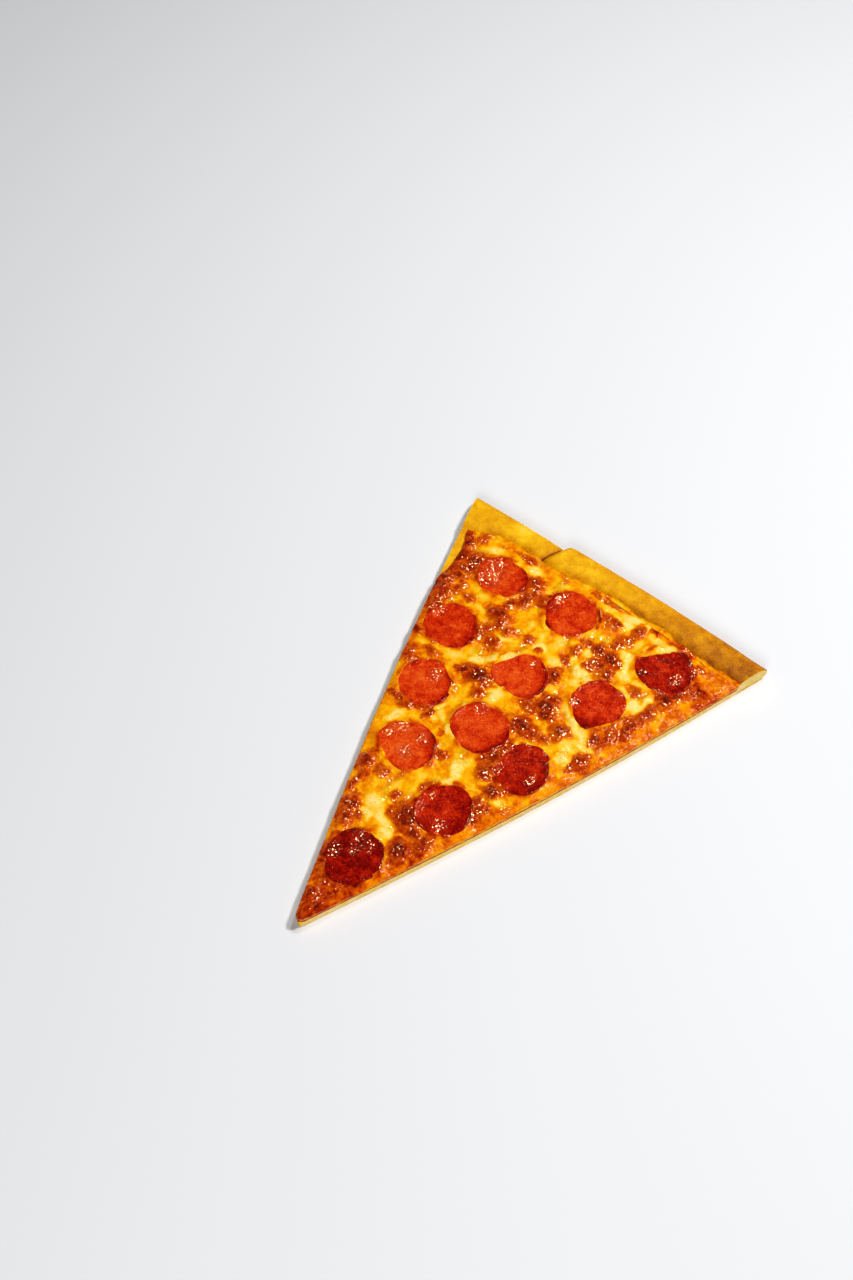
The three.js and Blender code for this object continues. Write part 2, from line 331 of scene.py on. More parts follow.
def facet_bumps(tree, size_mm, slope, amount):
    """
    A normal broken into small flat facets about size_mm wide, each tilted its own way by up
    to slope times amount, so that a few of them at a time mirror a light.
    """
    place = add_node(tree, "ShaderNodeTexCoord").outputs["Object"]
    cells = add_node(tree, "ShaderNodeTexVoronoi", {"Vector": place, "Scale": 1 / (size_mm * MM)})
    lean = add_node(tree, "ShaderNodeVectorMath", {0: cells.outputs["Color"], 1: (0.5, 0.5, 0.5)},
                    operation="SUBTRACT").outputs[0]
    offset = add_node(tree, "ShaderNodeVectorMath", {0: place, 1: cells.outputs["Position"]},
                      operation="SUBTRACT").outputs[0]
    height = add_node(tree, "ShaderNodeVectorMath", {0: lean, 1: offset},
                      operation="DOT_PRODUCT").outputs["Value"]
    height = math_node(tree, "MULTIPLY", height, 2 * slope)
    return bump_node(tree, math_node(tree, "MULTIPLY", height, amount), 1 / MM)


def oil_film(tree, shader, strength, normal, tint):
    """A thin warm film of oil, which mirrors more or less of the light."""
    feed(tree, shader, {"IOR": OIL_IOR, "Specular IOR Level": strength,
                        "Specular Tint": (*tint, 1.0), "Normal": normal})


def wobble(tree, value, *noises):
    """value plus each (noise, reach), the noise counted from its middle."""
    for noise, reach in noises:
        value = math_node(tree, "ADD", value, range_node(tree, noise, -reach, reach))
    return value


# ---- Dough ----

UNDERSIDE_BAKED = 0.7


def rim_profile(share):
    """Height of the rim's section, from the cheese (0) to the outer edge (1)."""
    inner = 0.7 + 0.3 * (1 - np.clip(1 - 2 * share, 0, 1) ** 3.9)
    outer = 0.45 + 0.55 * (1 - np.clip(2 * share - 1, 0, 1) ** 2.6) ** 0.43
    return np.where(share < 0.5, inner, outer)


def dough_top(x, y):
    """Height of the dough's upper side: the flat base, the border and the rim."""
    across = np.clip(x / half_width(y), -1, 1)
    inner = rim_inner(across)
    left_share = np.clip((y - inner) / (left_outer(across) - inner), 0, 1)
    fold_share = np.clip((y - inner) / (fold_outer(across) - inner), 0, 1)
    left = RIM_HEIGHT * LEFT_RIM * rim_profile(left_share)
    start = mix(FOLD_START[0], FOLD_START[1], fold_share)
    rolled = np.clip((across - start) / 0.05, 0, 1)
    fold = RIM_HEIGHT * FOLD_RIM * rim_profile(fold_share)
    fold = fold * (0.5 + 0.5 * np.sqrt(1 - (1 - rolled) ** 2))
    fold = np.where(across < start, 0, fold)
    left = np.where(across > start + 0.12, 0, left)
    seam = bell((across - start) * half_width(y), 1.1) * fade(y, inner - 1, inner + 4)
    uneven = clouds(x, y, (0.35, 26, 11), (0.18, 9, 12), (0.05, 3, 13))
    rim = np.maximum(left, fold) - 1.2 * seam + uneven
    from_side = x + half_width(y)
    strip = 1 - fade(from_side, border_width(y), border_width(y) + 0.8)
    strip = strip * (border_width(y) > 0) * (1 - fade(y, inner + 6, inner + 14))
    strip_top = BORDER_TOP + 0.3 * cloud(x, y, 7, 14) + 0.8 * fade(y, 280, 296)
    strip_top = strip_top * mix(0.86, 1, fade(y, 248, 262))
    base = mix(BASE_TOP, strip_top, strip)
    return np.where(y > inner, np.maximum(rim, base), base)


def dough_places(bm, sizes):
    """Lattice to dough: most rows of the lattice lie close together on the rim."""
    grid = coordinates(bm)
    along, level = grid[:, 1], -grid[:, 2]
    across = grid[:, 0] / np.maximum(along, 1e-6)
    under_rim = sizes.rim_rows
    inner = rim_inner(across)
    on_base = inner * np.clip(along / (1 - under_rim), 0, 1)
    on_rim = np.clip((along - 1 + under_rim) / under_rim, 0, 1)
    on_rim = 1 - (1 - on_rim) ** 1.35
    y = np.where(along < 1 - under_rim, on_base, mix(inner, rim_outer(across), on_rim))
    top = dough_top(across * half_width(y), y)
    y = np.minimum(y, rim_outer(across) - 2.6 * fade(level, 0.25, 1))
    x = across * half_width(y) * tip_share(y)
    outer = fade(along, 1 - 0.4 / sizes.lattice_rows, 1)
    pores = clouds(y, level * top, (0.5, 2.6, 21), (0.35, 1.1, 22))
    cut = (1 - outer) * fade(level, 0, 0.12) * (1 - fade(level, 0.93, 1))
    x = x * (1 + (pores - 0.15) * cut * 0.4 / np.maximum(np.abs(x), 1))
    z = top * (1 - level)
    return (x, y, z), across, level, outer


def dough_paint(places, across, level, outer):
    """How brown each spot is, from pale (0) to dark brown (1), with painted shade and light on the
    rim, and how much is crumb.
    """
    x, y, z = places
    inner = rim_inner(across)
    beyond = y - inner
    crust = 0.47 + clouds(x, y, (0.05, 20, 31), (0.04, 7, 32), (0.02, 2.5, 33))
    # Darker towards the right end of the rim: painted shade. Darker in a band at the foot of the
    # rim, beside the cheese.
    crust = crust + 0.2 * fade(x, -20, 110) + 0.11 * bell(beyond - 2, 4)
    # A lighter patch on the left stretch of the rim: painted light.
    crust = crust - 0.06 * bell(x + 70, 18) * bell(y - 315, 9)
    # Darker along the seam of the fold: browned dough in the crease, with painted shadow of the
    # fold's end beside it.
    start = mix(FOLD_START[0], FOLD_START[1], np.clip(beyond / 24, 0, 1))
    seam = np.abs(across - start) * half_width(y)
    crust = crust + (0.12 * bell(seam, 2.5) + 0.3 * bell(seam, 0.7)) * (beyond > -1)
    at_edge = bell(rim_outer(across) - y, 1) * (across < -0.36)
    crust = crust - 0.16 * at_edge * (1 - fade(level, 0, 0.3))
    crust = crust + 0.12 * outer * fade(level, 0.5, 1)
    cut_side = fade(np.abs(across), 0.985, 1.0) * (1 - outer)
    crumb = cut_side * fade(level, 0.02, 0.15) * (1 - fade(level, 0.86, 0.97))
    brown_and_shade = mix(crust, 0.13 + 0.05 * cloud(y, z, 4, 34), crumb)
    return np.where(level > 0.97, UNDERSIDE_BAKED, brown_and_shade), crumb


def pore_node(tree, size_mm, widest):
    """Open bubbles about size_mm apart, 1 in their middle; widest is a share of that size."""
    place = add_node(tree, "ShaderNodeTexCoord").outputs["Object"]
    stir = add_node(tree, "ShaderNodeTexNoise", {"Vector": place, "Scale": 0.6 / (size_mm * MM)})
    stirred = add_node(tree, "ShaderNodeVectorMath",
                       {0: stir.outputs["Color"], 1: [1.5 * size_mm * MM] * 3, 2: place},
                       operation="MULTIPLY_ADD").outputs[0]
    cells = add_node(tree, "ShaderNodeTexVoronoi", {"Vector": stirred, "Scale": 1 / (size_mm * MM)})
    reach = range_node(tree, noise_node(tree, 2.5 * size_mm), -0.25 * widest, 1.6 * widest)
    return step_node(tree, math_node(tree, "SUBTRACT", reach, cells.outputs["Distance"]), 0, 0.35)


def dough_material(look, colours):
    material, tree, shader = new_material("baked dough")
    brown_and_shade = attribute_node(tree, "brown_and_shade")
    mottled = wobble(tree, brown_and_shade, (noise_node(tree, 16, detail=2), 0.1),
                     (noise_node(tree, 6, detail=5, roughness=0.62), 0.17),
                     (noise_node(tree, 1, detail=3, roughness=0.65), 0.15))
    pores = math_node(tree, "MAXIMUM", pore_node(tree, 2.4, 0.5), pore_node(tree, 0.9, 0.4))
    pores = math_node(tree, "MULTIPLY", pores, attribute_node(tree, "crumb"))
    mottled = math_node(tree, "ADD", mottled, math_node(tree, "MULTIPLY", pores, 0.11))
    colour = ramp_node(tree, mottled, [
        (0.0, colours.crumb), (0.36, colours.crust_pale), (0.58, colours.crust_golden),
        (0.82, colours.crust_brown), (1.0, colours.crust_burnt),
    ])
    rough = range_node(tree, noise_node(tree, 6),
                       look.crust_roughness - 0.08, look.crust_roughness + 0.1)
    normal = bump_node(tree, noise_node(tree, 3, detail=4), 0.35, 0.6)
    normal = bump_node(tree, noise_node(tree, 0.6, detail=4), 0.08, 0.7, normal)
    normal = bump_node(tree, math_node(tree, "SUBTRACT", 1, pores), 0.5, 1.0, normal)
    feed(tree, shader, {"Base Color": colour, "Roughness": rough, "Specular IOR Level": 0.06,
                        "Normal": normal})
    return material


class SLICE_OT_dough(bpy.types.Operator):
    """Build the dough: base, bare border and the folded rim"""
    bl_idname = "pizza.build_dough"
    bl_label = "Dough"

    def execute(self, context):
        settings = context.scene.pizza_slice
        bm = triangle_block(settings.lattice_rows, DOUGH_LEVELS)
        places, across, level, outer = dough_places(bm, settings)
        brown_and_shade, crumb = dough_paint(places, across, level, outer)
        make_piece("baked_dough", bm, places, {"brown_and_shade": brown_and_shade, "crumb": crumb},
                   dough_material(settings, settings.colours), ["dough"])
        return {"FINISHED"}


# ---- Sauce ----

def layer_across(across, y):
    """x at a place across the layers, which stop short of the border on the left."""
    left = border_width(y + 1) - half_width(y)
    return mix(left, half_width(y), (across + 1) / 2)


def layer_end(across):
    corner = RIM_INNER[0][1]
    return rim_inner(layer_across(across, corner) / half_width(corner))


def layer_plan(bm, reach):
    """
    Lattice to a layer that ends reach beyond the inner edge of the crust: x, y, level, the
    lattice's own shares, and how far left (-1) or right (1) each spot of the walls faces.
    """
    grid = coordinates(bm)
    along, level = grid[:, 1], -grid[:, 2]
    across = grid[:, 0] / np.maximum(along, 1e-6)
    y = (layer_end(across) + reach) * along
    x = layer_across(across, y) * tip_share(y)
    side = fade(np.abs(across), 0.97, 1.0) * np.sign(across)
    return x, y, level, along, across, side


class SLICE_OT_sauce(bpy.types.Operator):
    """Build the layer of tomato sauce"""
    bl_idname = "pizza.build_sauce"
    bl_label = "Tomato Sauce"

    def execute(self, context):
        settings = context.scene.pizza_slice
        bm = triangle_block(settings.lattice_rows // 2, SAUCE_LEVELS)
        x, y, level, _, _, side = layer_plan(bm, -0.4)
        ooze = 0.25 * cloud(y, level, 5, 41) + 0.2 * cloud(y, level * 2, 1.7, 42) - 0.1
        x = x + side * ooze * np.sin(np.pi * np.clip(level, 0.05, 0.95))
        z = mix(SAUCE_HIGH + OVERLAP, SAUCE_LOW - OVERLAP, level)
        make_piece("sauce_layer", bm, (x, y, z), {}, sauce_material(settings.colours),
                   ["tomato_sauce"])
        return {"FINISHED"}


def sauce_material(colours):
    material, tree, shader = new_material("tomato sauce")
    colour = ramp_node(tree, noise_node(tree, 2.2, detail=4), [
        (0.25, colours.sauce_dark), (0.75, colours.sauce_light),
    ])
    feed(tree, shader, {"Base Color": colour, "Roughness": 0.6, "Specular IOR Level": 0.05,
                        "Normal": bump_node(tree, noise_node(tree, 0.8), 0.2)})
    return material


# ---- Cheese ----

# Browned spots: place, reach along X and Y, and depth of colour.
BROWN_SPOTS = [
    # along the crust
    (-102, 291, 3, 3, 0.85), (-97, 285, 4, 4, 0.9), (-91, 296, 3, 5, 0.45), (-60, 300, 5, 2, 0.35),
    (-54, 300, 3, 3, 0.65), (2, 305, 6, 1.5, 0.3), (14, 305, 5, 1.5, 0.35), (14, 293, 4, 4, 0.5),
    (22, 293, 6, 4, 0.65), (38, 298, 4, 5, 0.65), (36, 287, 4, 4, 0.5), (33, 281, 4, 4, 0.6),
    (48, 304, 3.5, 3, 0.9), (69, 304, 6, 2.5, 0.6), (86, 297, 3, 3, 0.5), (92, 279, 2.5, 6, 0.7),
    # second row
    (-83, 276, 6, 6, 1.0), (-82, 268, 4, 6, 0.95), (-93, 272, 4, 9, 0.9), (-86, 266, 4, 5, 0.95),
    (-85, 258, 5, 4, 0.85), (-90, 251, 6, 5, 0.9), (-85, 241, 6, 9, 0.72), (-78, 250, 3, 6, 0.5),
    (-82, 232, 4, 8, 0.8), (-68, 248, 5, 3, 0.5),
    (-40, 286, 6, 5, 0.78), (-35, 281, 4, 5, 0.75), (-37, 270, 4, 8, 0.78), (-42, 262, 3.5, 5, 0.7),
    (-27, 277, 4, 5, 0.6), (-43, 249, 8, 5, 0.9), (-37, 244, 4, 4, 0.75), (-42, 237, 4, 3, 0.5),
    (-30, 241, 3, 5, 0.5), (-15, 246, 3, 2.5, 0.7), (-5, 243, 2.5, 2, 0.55), (27, 268, 5, 5, 0.85),
    (37, 266, 8, 6, 0.92), (32, 259, 7, 4, 0.7), (41, 256, 4, 6, 0.65), (28, 253, 4, 3, 0.6),
    (15, 257, 3, 5, 0.55), (17, 268, 4, 2.5, 0.4), (14, 248, 4, 3, 0.5), (16, 234, 4.5, 5, 0.93),
    (64, 256, 5, 4, 0.5), (83, 263, 5, 7, 1.0), (86, 272, 4, 7, 0.85), (79, 246, 4, 9, 0.7),
    (76, 231, 3.5, 8, 0.85),
    # third row
    (-33, 228, 7, 5, 0.65), (-43, 229, 3, 4, 0.7), (-79, 206, 6, 4, 0.95), (-33, 200, 4.5, 4, 0.9),
    (-23, 202, 9, 6, 1.0), (-15, 191, 4, 4, 0.65), (-70, 187, 5, 6, 0.65),
    (-60, 198, 6, 2.5, 0.5), (26, 210, 8, 6, 1.0), (24, 217, 6, 3, 0.6), (29, 205, 6, 3, 0.65),
    (17, 204, 5, 4, 0.5), (44, 201, 6, 6, 0.92), (22, 190, 10, 5.5, 0.95), (17, 185, 6, 3, 0.5),
    (39, 190, 4, 3, 0.72), (31, 187, 4, 2.5, 0.6), (64, 209, 4, 6, 0.8), (70, 216, 3.5, 10, 0.8),
    (66, 191, 4, 6, 0.85), (64, 185, 3, 4, 0.7),
    # fourth row
    (-30, 159, 3, 4, 0.85), (-53, 157, 7, 2, 0.75), (-46, 155, 5, 3, 0.6), (-36, 160, 3, 2, 0.6),
    (-4, 140, 3.5, 3.5, 0.85), (18, 154, 3, 3, 0.7), (-15, 153, 2.5, 2, 0.5),
    (25, 168, 3.5, 3.5, 0.75), (24, 174, 5, 3, 0.65), (22, 160, 6, 6, 0.85), (30, 152, 7, 4, 0.85),
    (25, 146, 5, 5, 0.9), (37, 139, 6, 4.5, 0.95), (43, 145, 3, 2, 0.6), (34, 127, 4, 5, 0.6),
    (39, 125, 3, 8, 0.8), (50, 160, 3, 6, 0.7),
    # towards the tip
    (-38, 107, 4, 7, 0.85), (-26, 107, 4, 4, 0.4), (-8, 99, 3, 3, 0.5),
    (2, 115, 2.5, 4, 0.6), (7, 93, 10, 9, 1.0), (18, 86, 7, 3.5, 0.8), (18, 71, 6, 8, 1.0),
    (27, 84, 4, 7, 0.8), (-26, 77, 6, 7, 0.9), (-22, 69, 5, 7, 0.8), (-17, 75, 3, 3, 0.6),
    (-34, 92, 3, 8, 0.7), (-2, 27, 5, 5, 0.6), (3, 29, 3, 4, 0.75),
    (-4, 17, 4, 5, 0.85), (-12, 30, 3, 6, 0.5), (-17, 50, 3, 8, 0.6), (1, 8, 3, 5, 0.7),
]

# Patches of pale cheese: place, reach along X and Y, turn in degrees, paleness.
PALE_PATCHES = [
    # along the crust
    (-79, 292, 5.5, 3.5, 20, 0.8), (-46, 294, 6, 3.5, 10, 0.8),
    (-22, 298, 8, 3, 0, 0.55), (12, 301, 7, 2.5, 0, 0.6), (41, 304, 3, 3, 0, 0.8),
    (30, 303, 8, 3, 10, 1.0), (28, 296, 4.5, 5, 0, 1.0), (20, 299, 4, 2.5, 0, 0.6),
    (53, 299, 8, 4, 0, 0.7), (60, 296, 3, 7, -45, 1.0), (50, 286, 2, 6, -20, 0.8),
    (44, 288, 3, 7, -10, 0.5), (43, 276, 4.5, 4, 0, 1.0), (47, 269, 2.5, 8, 25, 1.0),
    # second row
    (-65, 257, 10, 4, 0, 0.5), (-55, 246, 7, 3, -10, 0.5), (-71, 250, 4, 3, 0, 0.5),
    (-5, 246, 5, 4, 0, 1.0), (2, 257, 5, 8, 0, 0.6), (8, 243, 6, 5, 0, 0.7),
    (-21, 257, 3, 7, 20, 0.5), (11, 263, 5, 3, 20, 0.5), (22, 262, 4, 3, 0, 0.95),
    (26, 257, 2.5, 4, 0, 0.6),
    (17, 253, 2, 6, 20, 0.85), (27, 246, 5.5, 5, 0, 1.0), (34, 242, 3.5, 5, 0, 1.0),
    (51, 262, 6, 4, 0, 0.7), (62, 263, 7, 2.5, 0, 0.7), (74, 255, 3, 6, 0, 0.9),
    (69, 247, 6, 4, 30, 1.0), (58, 251, 5, 3.5, 0, 0.8), (22, 277, 2.5, 7, 10, 0.45),
    # third row
    (-20, 223, 3.6, 13, -42, 1.0), (-32, 211, 3, 6, -50, 1.0), (-30, 235, 4, 4, 0, 0.8),
    (-24, 238, 3, 3, 0, 0.5), (-40, 215, 5, 5, 0, 0.5), (-46, 207, 9, 4, 25, 0.6),
    (-45, 206, 2.5, 3, 0, 0.9), (-62, 197, 4, 2, 25, 0.5), (-50, 207, 8, 2.5, 30, 0.7),
    (-68, 200, 5, 3, 0, 0.5), (-5, 197, 4, 7, 0, 1.0), (-24, 187, 5, 7, 0, 0.45),
    (-28, 188, 3, 2, 30, 0.8),
    (-17, 178, 2, 7, 0, 0.65), (-25, 178, 4, 5, 0, 0.5), (-78, 216, 2, 3, 0, 0.6),
    (29, 237, 4, 4, 0, 0.7), (29, 227, 3, 4, 0, 0.4), (21, 224, 5, 3, -20, 0.45),
    (44, 213, 3.2, 13, 57, 1.0), (58, 207, 7, 4, -30, 0.75), (62, 201, 7, 3, 0, 0.9),
    (53, 195, 6, 5, 0, 0.65), (35, 199, 3, 6, 0, 0.45), (56, 186, 5, 6, 0, 0.9),
    (34, 181, 7, 2.5, 10, 0.5), (29, 177, 3, 4, 0, 0.6), (62, 174, 3, 5, 0, 0.5),
    # fourth row
    (-28, 167, 2, 5, -10, 0.8), (-22, 163, 6, 3, -35, 0.6), (-12, 158, 9, 2.6, -35, 1.0),
    (-26, 158, 4, 3, 0, 0.7), (-46, 144, 3.5, 6, -15, 1.0), (-36, 152, 6, 2.5, 10, 0.5),
    (10, 138, 4, 7, 30, 1.0), (3, 148, 4, 4, 0, 0.45), (13, 147, 4, 4, 0, 0.5),
    (11, 127, 3, 8, -50, 0.8), (44, 135, 5, 4, 0, 0.65), (28, 141, 8, 3, 0, 0.5),
    (-7, 121, 3, 3, 0, 0.3),
    # towards the tip
    (-15, 88, 7, 5, 0, 0.85), (-4, 82, 9, 4, -15, 0.8), (4, 76, 5, 5, 0, 0.9),
    (-15, 79, 6, 4, 20, 0.85), (-22, 103, 5, 4, 0, 0.45), (-12, 105, 4, 7, 0, 0.5),
    (-9, 96, 3, 3, 0, 0.5), (2, 111, 2.5, 8, 10, 0.55), (-4, 110, 4, 8, 0, 0.4),
    (-42, 121, 4, 4, 0, 0.42), (13, 81, 3, 2, 0, 0.55),
]

SPOT_WARP = 1.7  # how far the spots' outlines wander
CHEESE_WAVES = ((9, 21), (-17, 8), (5.3, 5.3))
FAR_CORNER = (95, 286)  # where the cheese is browner and dry
BED_HEIGHT = 1.8  # of the cheese against the edge of a slice of pepperoni


def spot_field(x, y, spots):
    """
    The nearest soft ellipse at each place: how near, 1 at its middle and 0.5 at its reach,
    with that ellipse's depth and size.
    """
    near, depth, size = np.zeros_like(x), np.zeros_like(x), np.ones_like(x)
    for cx, cy, rx, ry, turn, deep in spots:
        about = np.abs(x - cx) + np.abs(y - cy) < 4 * max(rx, ry)
        dx, dy = x[about] - cx, y[about] - cy
        cos, sin = math.cos(math.radians(turn)), math.sin(math.radians(turn))
        away = np.hypot((dx * cos + dy * sin) / rx, (dy * cos - dx * sin) / ry)
        value = 0.5 ** (away ** 2)
        nearer = value > near[about]
        share = (value - near[about]).clip(0) / np.maximum(value, 1e-6)
        depth[about] += share * (deep - depth[about])
        size[about] = np.where(nearer, min(rx, ry), size[about])
        near[about] = np.maximum(near[about], value)
    return near, depth, size


def cheese_fields(x, y):
    """The browned spots and pale patches at each place, and the tone between them, with some
    painted shade along the right side.
    """
    warped_x = x + SPOT_WARP * clouds(x, y, (1, 7, 51), (0.5, 3, 52))
    warped_y = y + SPOT_WARP * clouds(x, y, (1, 7, 53), (0.5, 3, 54))
    spots = [(*spot[:4], 0, spot[4]) for spot in BROWN_SPOTS]
    brown, depth, size = spot_field(warped_x, warped_y, spots)
    pale, paleness, _ = spot_field(warped_x, warped_y, PALE_PATCHES)
    from_right = half_width(y) - x
    from_left = x - layer_across(-1, y)
    in_corner = bell(x - FAR_CORNER[0], 9) * bell(y - FAR_CORNER[1], 17)
    tone = 0.515 + clouds(x, y, (0.11, 17, 55), (0.14, 8, 56), (0.08, 3.5, 57))
    # Browner along the right cut side: a browned edge, partly painted shade.
    tone = tone + 0.13 * bell(from_right, 7) + 0.12 * bell(from_left, 5) * fade(y, 190, 240)
    tone = tone + 0.14 * (1 - fade(y, 25, 60)) + 0.24 * in_corner
    from_side = np.minimum(from_right, from_left)
    gloss = 0.9 * fade(brown, 0.1, 0.6) * fade(cloud(x, y, 5, 58), -0.35, 0.15)
    gloss = np.maximum(gloss, 0.8 * fade(cloud(x, y, 10, 59), 0.25, 0.5))
    gloss = gloss * fade(from_left, 0.5, 4) * fade(from_right, 0.5, 9)
    gloss = gloss * (1 - 0.6 * fade(pale * paleness, 0.3, 0.8) * (1 - fade(brown, 0.2, 0.6)))
    gloss = gloss * (1 - 0.95 * in_corner)
    return {"brown": brown, "depth": depth, "size": size, "pale": pale * paleness, "tone": tone,
            "gloss": gloss, "from_side": from_side}


class Topping:
    """One slice of pepperoni: where its solid lies, its outline and its looks."""

    def __init__(self, node, lobe, darkness, slopes, laps):
        low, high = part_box(node)
        self.node = node
        self.x, self.y = (low.x + high.x) / 2 / MM, (low.y + high.y) / 2 / MM + MIDDLE
        self.size = ((high.x - low.x) / MM, (high.y - low.y) / MM)
        self.low, self.high = low.z / MM, high.z / MM
        self.lobe, self.lobe_to = lobe[0], math.radians(lobe[1])
        self.darkness, self.dark_to = darkness[0], math.radians(darkness[1])
        self.slopes, self.laps = slopes, laps

    def radius(self, angle):
        ellipse = 0.5 / np.hypot(np.cos(angle) / self.size[0], np.sin(angle) / self.size[1])
        return ellipse * (1 + self.lobe * np.cos(3 * (angle - self.lobe_to)))

    def towards(self, x, y, angle):
        """How far a place lies from the middle in the direction of an angle."""
        return (x - self.x) * math.cos(angle) + (y - self.y) * math.sin(angle)

    def lapped(self, x, y):
        """How far a place lies beyond the nearest side that cheese covers."""
        far = np.full_like(x, -99.0)
        for facing, start in self.laps:
            far = np.maximum(far, self.towards(x, y, math.radians(facing)) - start)
        return far

    def outside(self, x, y):
        """How far a place lies outside the outline."""
        angle = np.arctan2(y - self.y, x - self.x)
        return np.hypot(x - self.x, y - self.y) - self.radius(angle)


# For each slice of pepperoni: how far its outline bulges in three lobes and towards which
# angle; how dark it is, which for the fourth and the last three slices also holds painted shade,
# and the angle of its darkest side; the shallow slopes that face the light, each with its place
# from the middle and its width; and the sides that cheese covers, each with the angle that it
# faces and how far from the middle it starts.
SLICES = [
    ((0.02, 20), (0.3, 40), [(-8, 4, 8), (-7, -6, 8)], []),
    ((0.03, -90), (0.36, 200), [(-14, 8, 5), (-13, -1, 4)], [(216, 16.8), (40, 16.8)]),
    ((0.025, -25), (0.4, 20), [(-14, 5, 4.5)], [(35, 16.8)]),
    ((0.035, 85), (0.72, 60), [(10, -2, 4.5), (-11, -11, 3)], [(138, 12.5)]),
    ((0.02, -20), (0.32, 25), [(2, 9, 5)], []),
    ((0.04, 206), (0.3, 20), [(3, 12, 3)], [(154, 12.8)]),
    ((0.025, 35), (0.5, -80), [(-14, -8, 5)], [(225, 16), (-32, 14.5)]),
    ((0.015, 285), (0.34, -20), [(-8, 13, 5)], []),
    ((0.03, 200), (0.26, 30), [(-12, 10, 5), (5, 10, 5), (-16, 1, 4), (2, -5, 5)], [(238, 14.8)]),
    ((0.02, 90), (0.7, -20), [(-13, -9, 4), (9, -4, 4)], [(180, 14)]),
    ((0.03, 90), (0.66, 10), [(5, -11, 5), (-12, 3, 3)], [(130, 16.5)]),
    ((0.03, -90), (0.85, 180), [(-6, 13, 6), (2, 11, 5), (-3, 4, 4), (-12, -4, 5)], []),
]


def toppings():
    return [Topping(node, *row) for node, row in zip(PEPPERONI_NODES, SLICES)]


def cheese_relief(x, y, fields):
    """Height of the melted surface, before it meets the crust and the pepperoni."""
    wave = sum(np.sin(x / a + y / b) for a, b in CHEESE_WAVES)
    height = CHEESE_TOP + 0.25 * wave
    height = height + clouds(x, y, (0.35, 9, 61), (0.25, 4, 62), (0.12, 2.2, 63))
    blister = fade(fields["brown"], 0.2, 0.8) * fields["depth"]
    height = height + blister * np.clip(0.3 * fields["size"], 0.4, 1.9)
    wrinkle = creases(x, y, 3.2, 64) * 0.32 + creases(x, y, 2, 65) * 0.2
    height = height + blister * wrinkle
    return height + 0.45 * fade(fields["pale"], 0.2, 0.7)


def bed_for_toppings(x, y, height):
    """Sinks the surface under each slice, and draws it up against the edge or over it."""
    for slice_ in toppings():
        free = height
        outside = slice_.outside(x, y)
        edge = slice_.low + BED_HEIGHT + 0.5 * cloud(x, y, 7, 66)
        height = np.where(outside < 4.5, mix(edge, height, fade(outside, -0.5, 4.5)), height)
        bed = mix(slice_.low - 0.35, edge, fade(outside, -3, -0.8))
        height = np.where(outside < 0, bed, height)
        lapped = slice_.lapped(x, y) + 0.8 * cloud(x, y, 5, 71)
        over = np.maximum(free, slice_.high + 0.35) - 0.5 * fade(outside, 0, 4)
        height = mix(height, over, fade(lapped, -0.4, 1.1) * (1 - fade(outside, 2, 5)))
    return height


def cheese_plan(bm):
    """The layer's plan, with a wavy edge on the crust."""
    x, y, level, along, across, side = layer_plan(bm, 1.2)
    at_rim = fade(along, 0.992, 1.0)
    y = y + at_rim * (0.6 + clouds(x, y, (1.4, 8, 67), (0.4, 3, 68)))
    return x, y, level, along, across, side


def cheese_places(plan, fields, row_share):
    """Gives the plan its relief, its lap on the crust and its swollen cut sides."""
    x, y, level, along, across, side = plan
    top = bed_for_toppings(x, y, cheese_relief(x, y, fields))
    top = top - 0.7 * bell(fields["from_side"], 2.2)
    crust = dough_top(x, y)
    inner = layer_end(across)
    top = np.maximum(top, mix(0, crust + 0.5, fade(y, inner - 3, inner)))
    drip = np.clip(cloud(y, across * 0, 4.2, 69) - 0.25, 0, 1) * 2.2
    hang = drip * np.abs(side) * (1 - fade(y, inner - 6, inner)) * fade(level, 0, 1)
    low = CHEESE_LOW - OVERLAP - hang
    lap = np.maximum(low, mix(top, crust - 0.3, fade(level, 0, 0.35)))
    lap = mix(lap, low, fade(level, 0.7, 1.0))
    at_end = fade(along, 1 - 0.5 * row_share, 1)
    z = mix(mix(top, low, level), lap, at_end)
    y = y - at_end * fade(level, 0.34, 0.68) * (y - inner + 0.6)
    swell = 0.45 * np.sin(np.pi * np.clip(level, 0, 1)) + 0.3 * cloud(y, level * 3, 3.2, 70)
    x = x + side * (swell * fade(level, 0, 0.2) + 0.35 * drip * level)
    return x, y, z


def soften_fields(plan, fields):
    """Oils the cheese round the pepperoni, and makes the cut sides paler and less browned."""
    x, y, level, _, _, side = plan
    outside = np.min([slice_.outside(x, y) for slice_ in toppings()], axis=0)
    oily = bell(outside, 2.2) * fade(cloud(x, y, 9, 72), -0.35, 0.35)
    on_cut = np.abs(side) * fade(level, 0.1, 0.5)
    fields["tone"] = fields["tone"] + 0.24 * oily - 0.16 * on_cut
    fields["pale"] = fields["pale"] * (1 - 0.5 * oily)
    fields["brown"] = fields["brown"] * (1 - 0.6 * on_cut)


class SLICE_OT_cheese(bpy.types.Operator):
    """Build the layer of melted cheese with its browned blisters"""
    bl_idname = "pizza.build_cheese"
    bl_label = "Cheese"

    def execute(self, context):
        settings = context.scene.pizza_slice
        bm = triangle_block(settings.lattice_rows, CHEESE_LEVELS)
        plan = cheese_plan(bm)
        fields = cheese_fields(*plan[:2])
        places = cheese_places(plan, fields, 1 / settings.lattice_rows)
        soften_fields(plan, fields)
        shown = {title: fields[title] for title in ("brown", "depth", "pale", "tone", "gloss")}
        make_piece("melted_cheese", bm, places, shown, cheese_material(settings, settings.colours),
                   ["cheese"], sharp_angle=80)
        return {"FINISHED"}


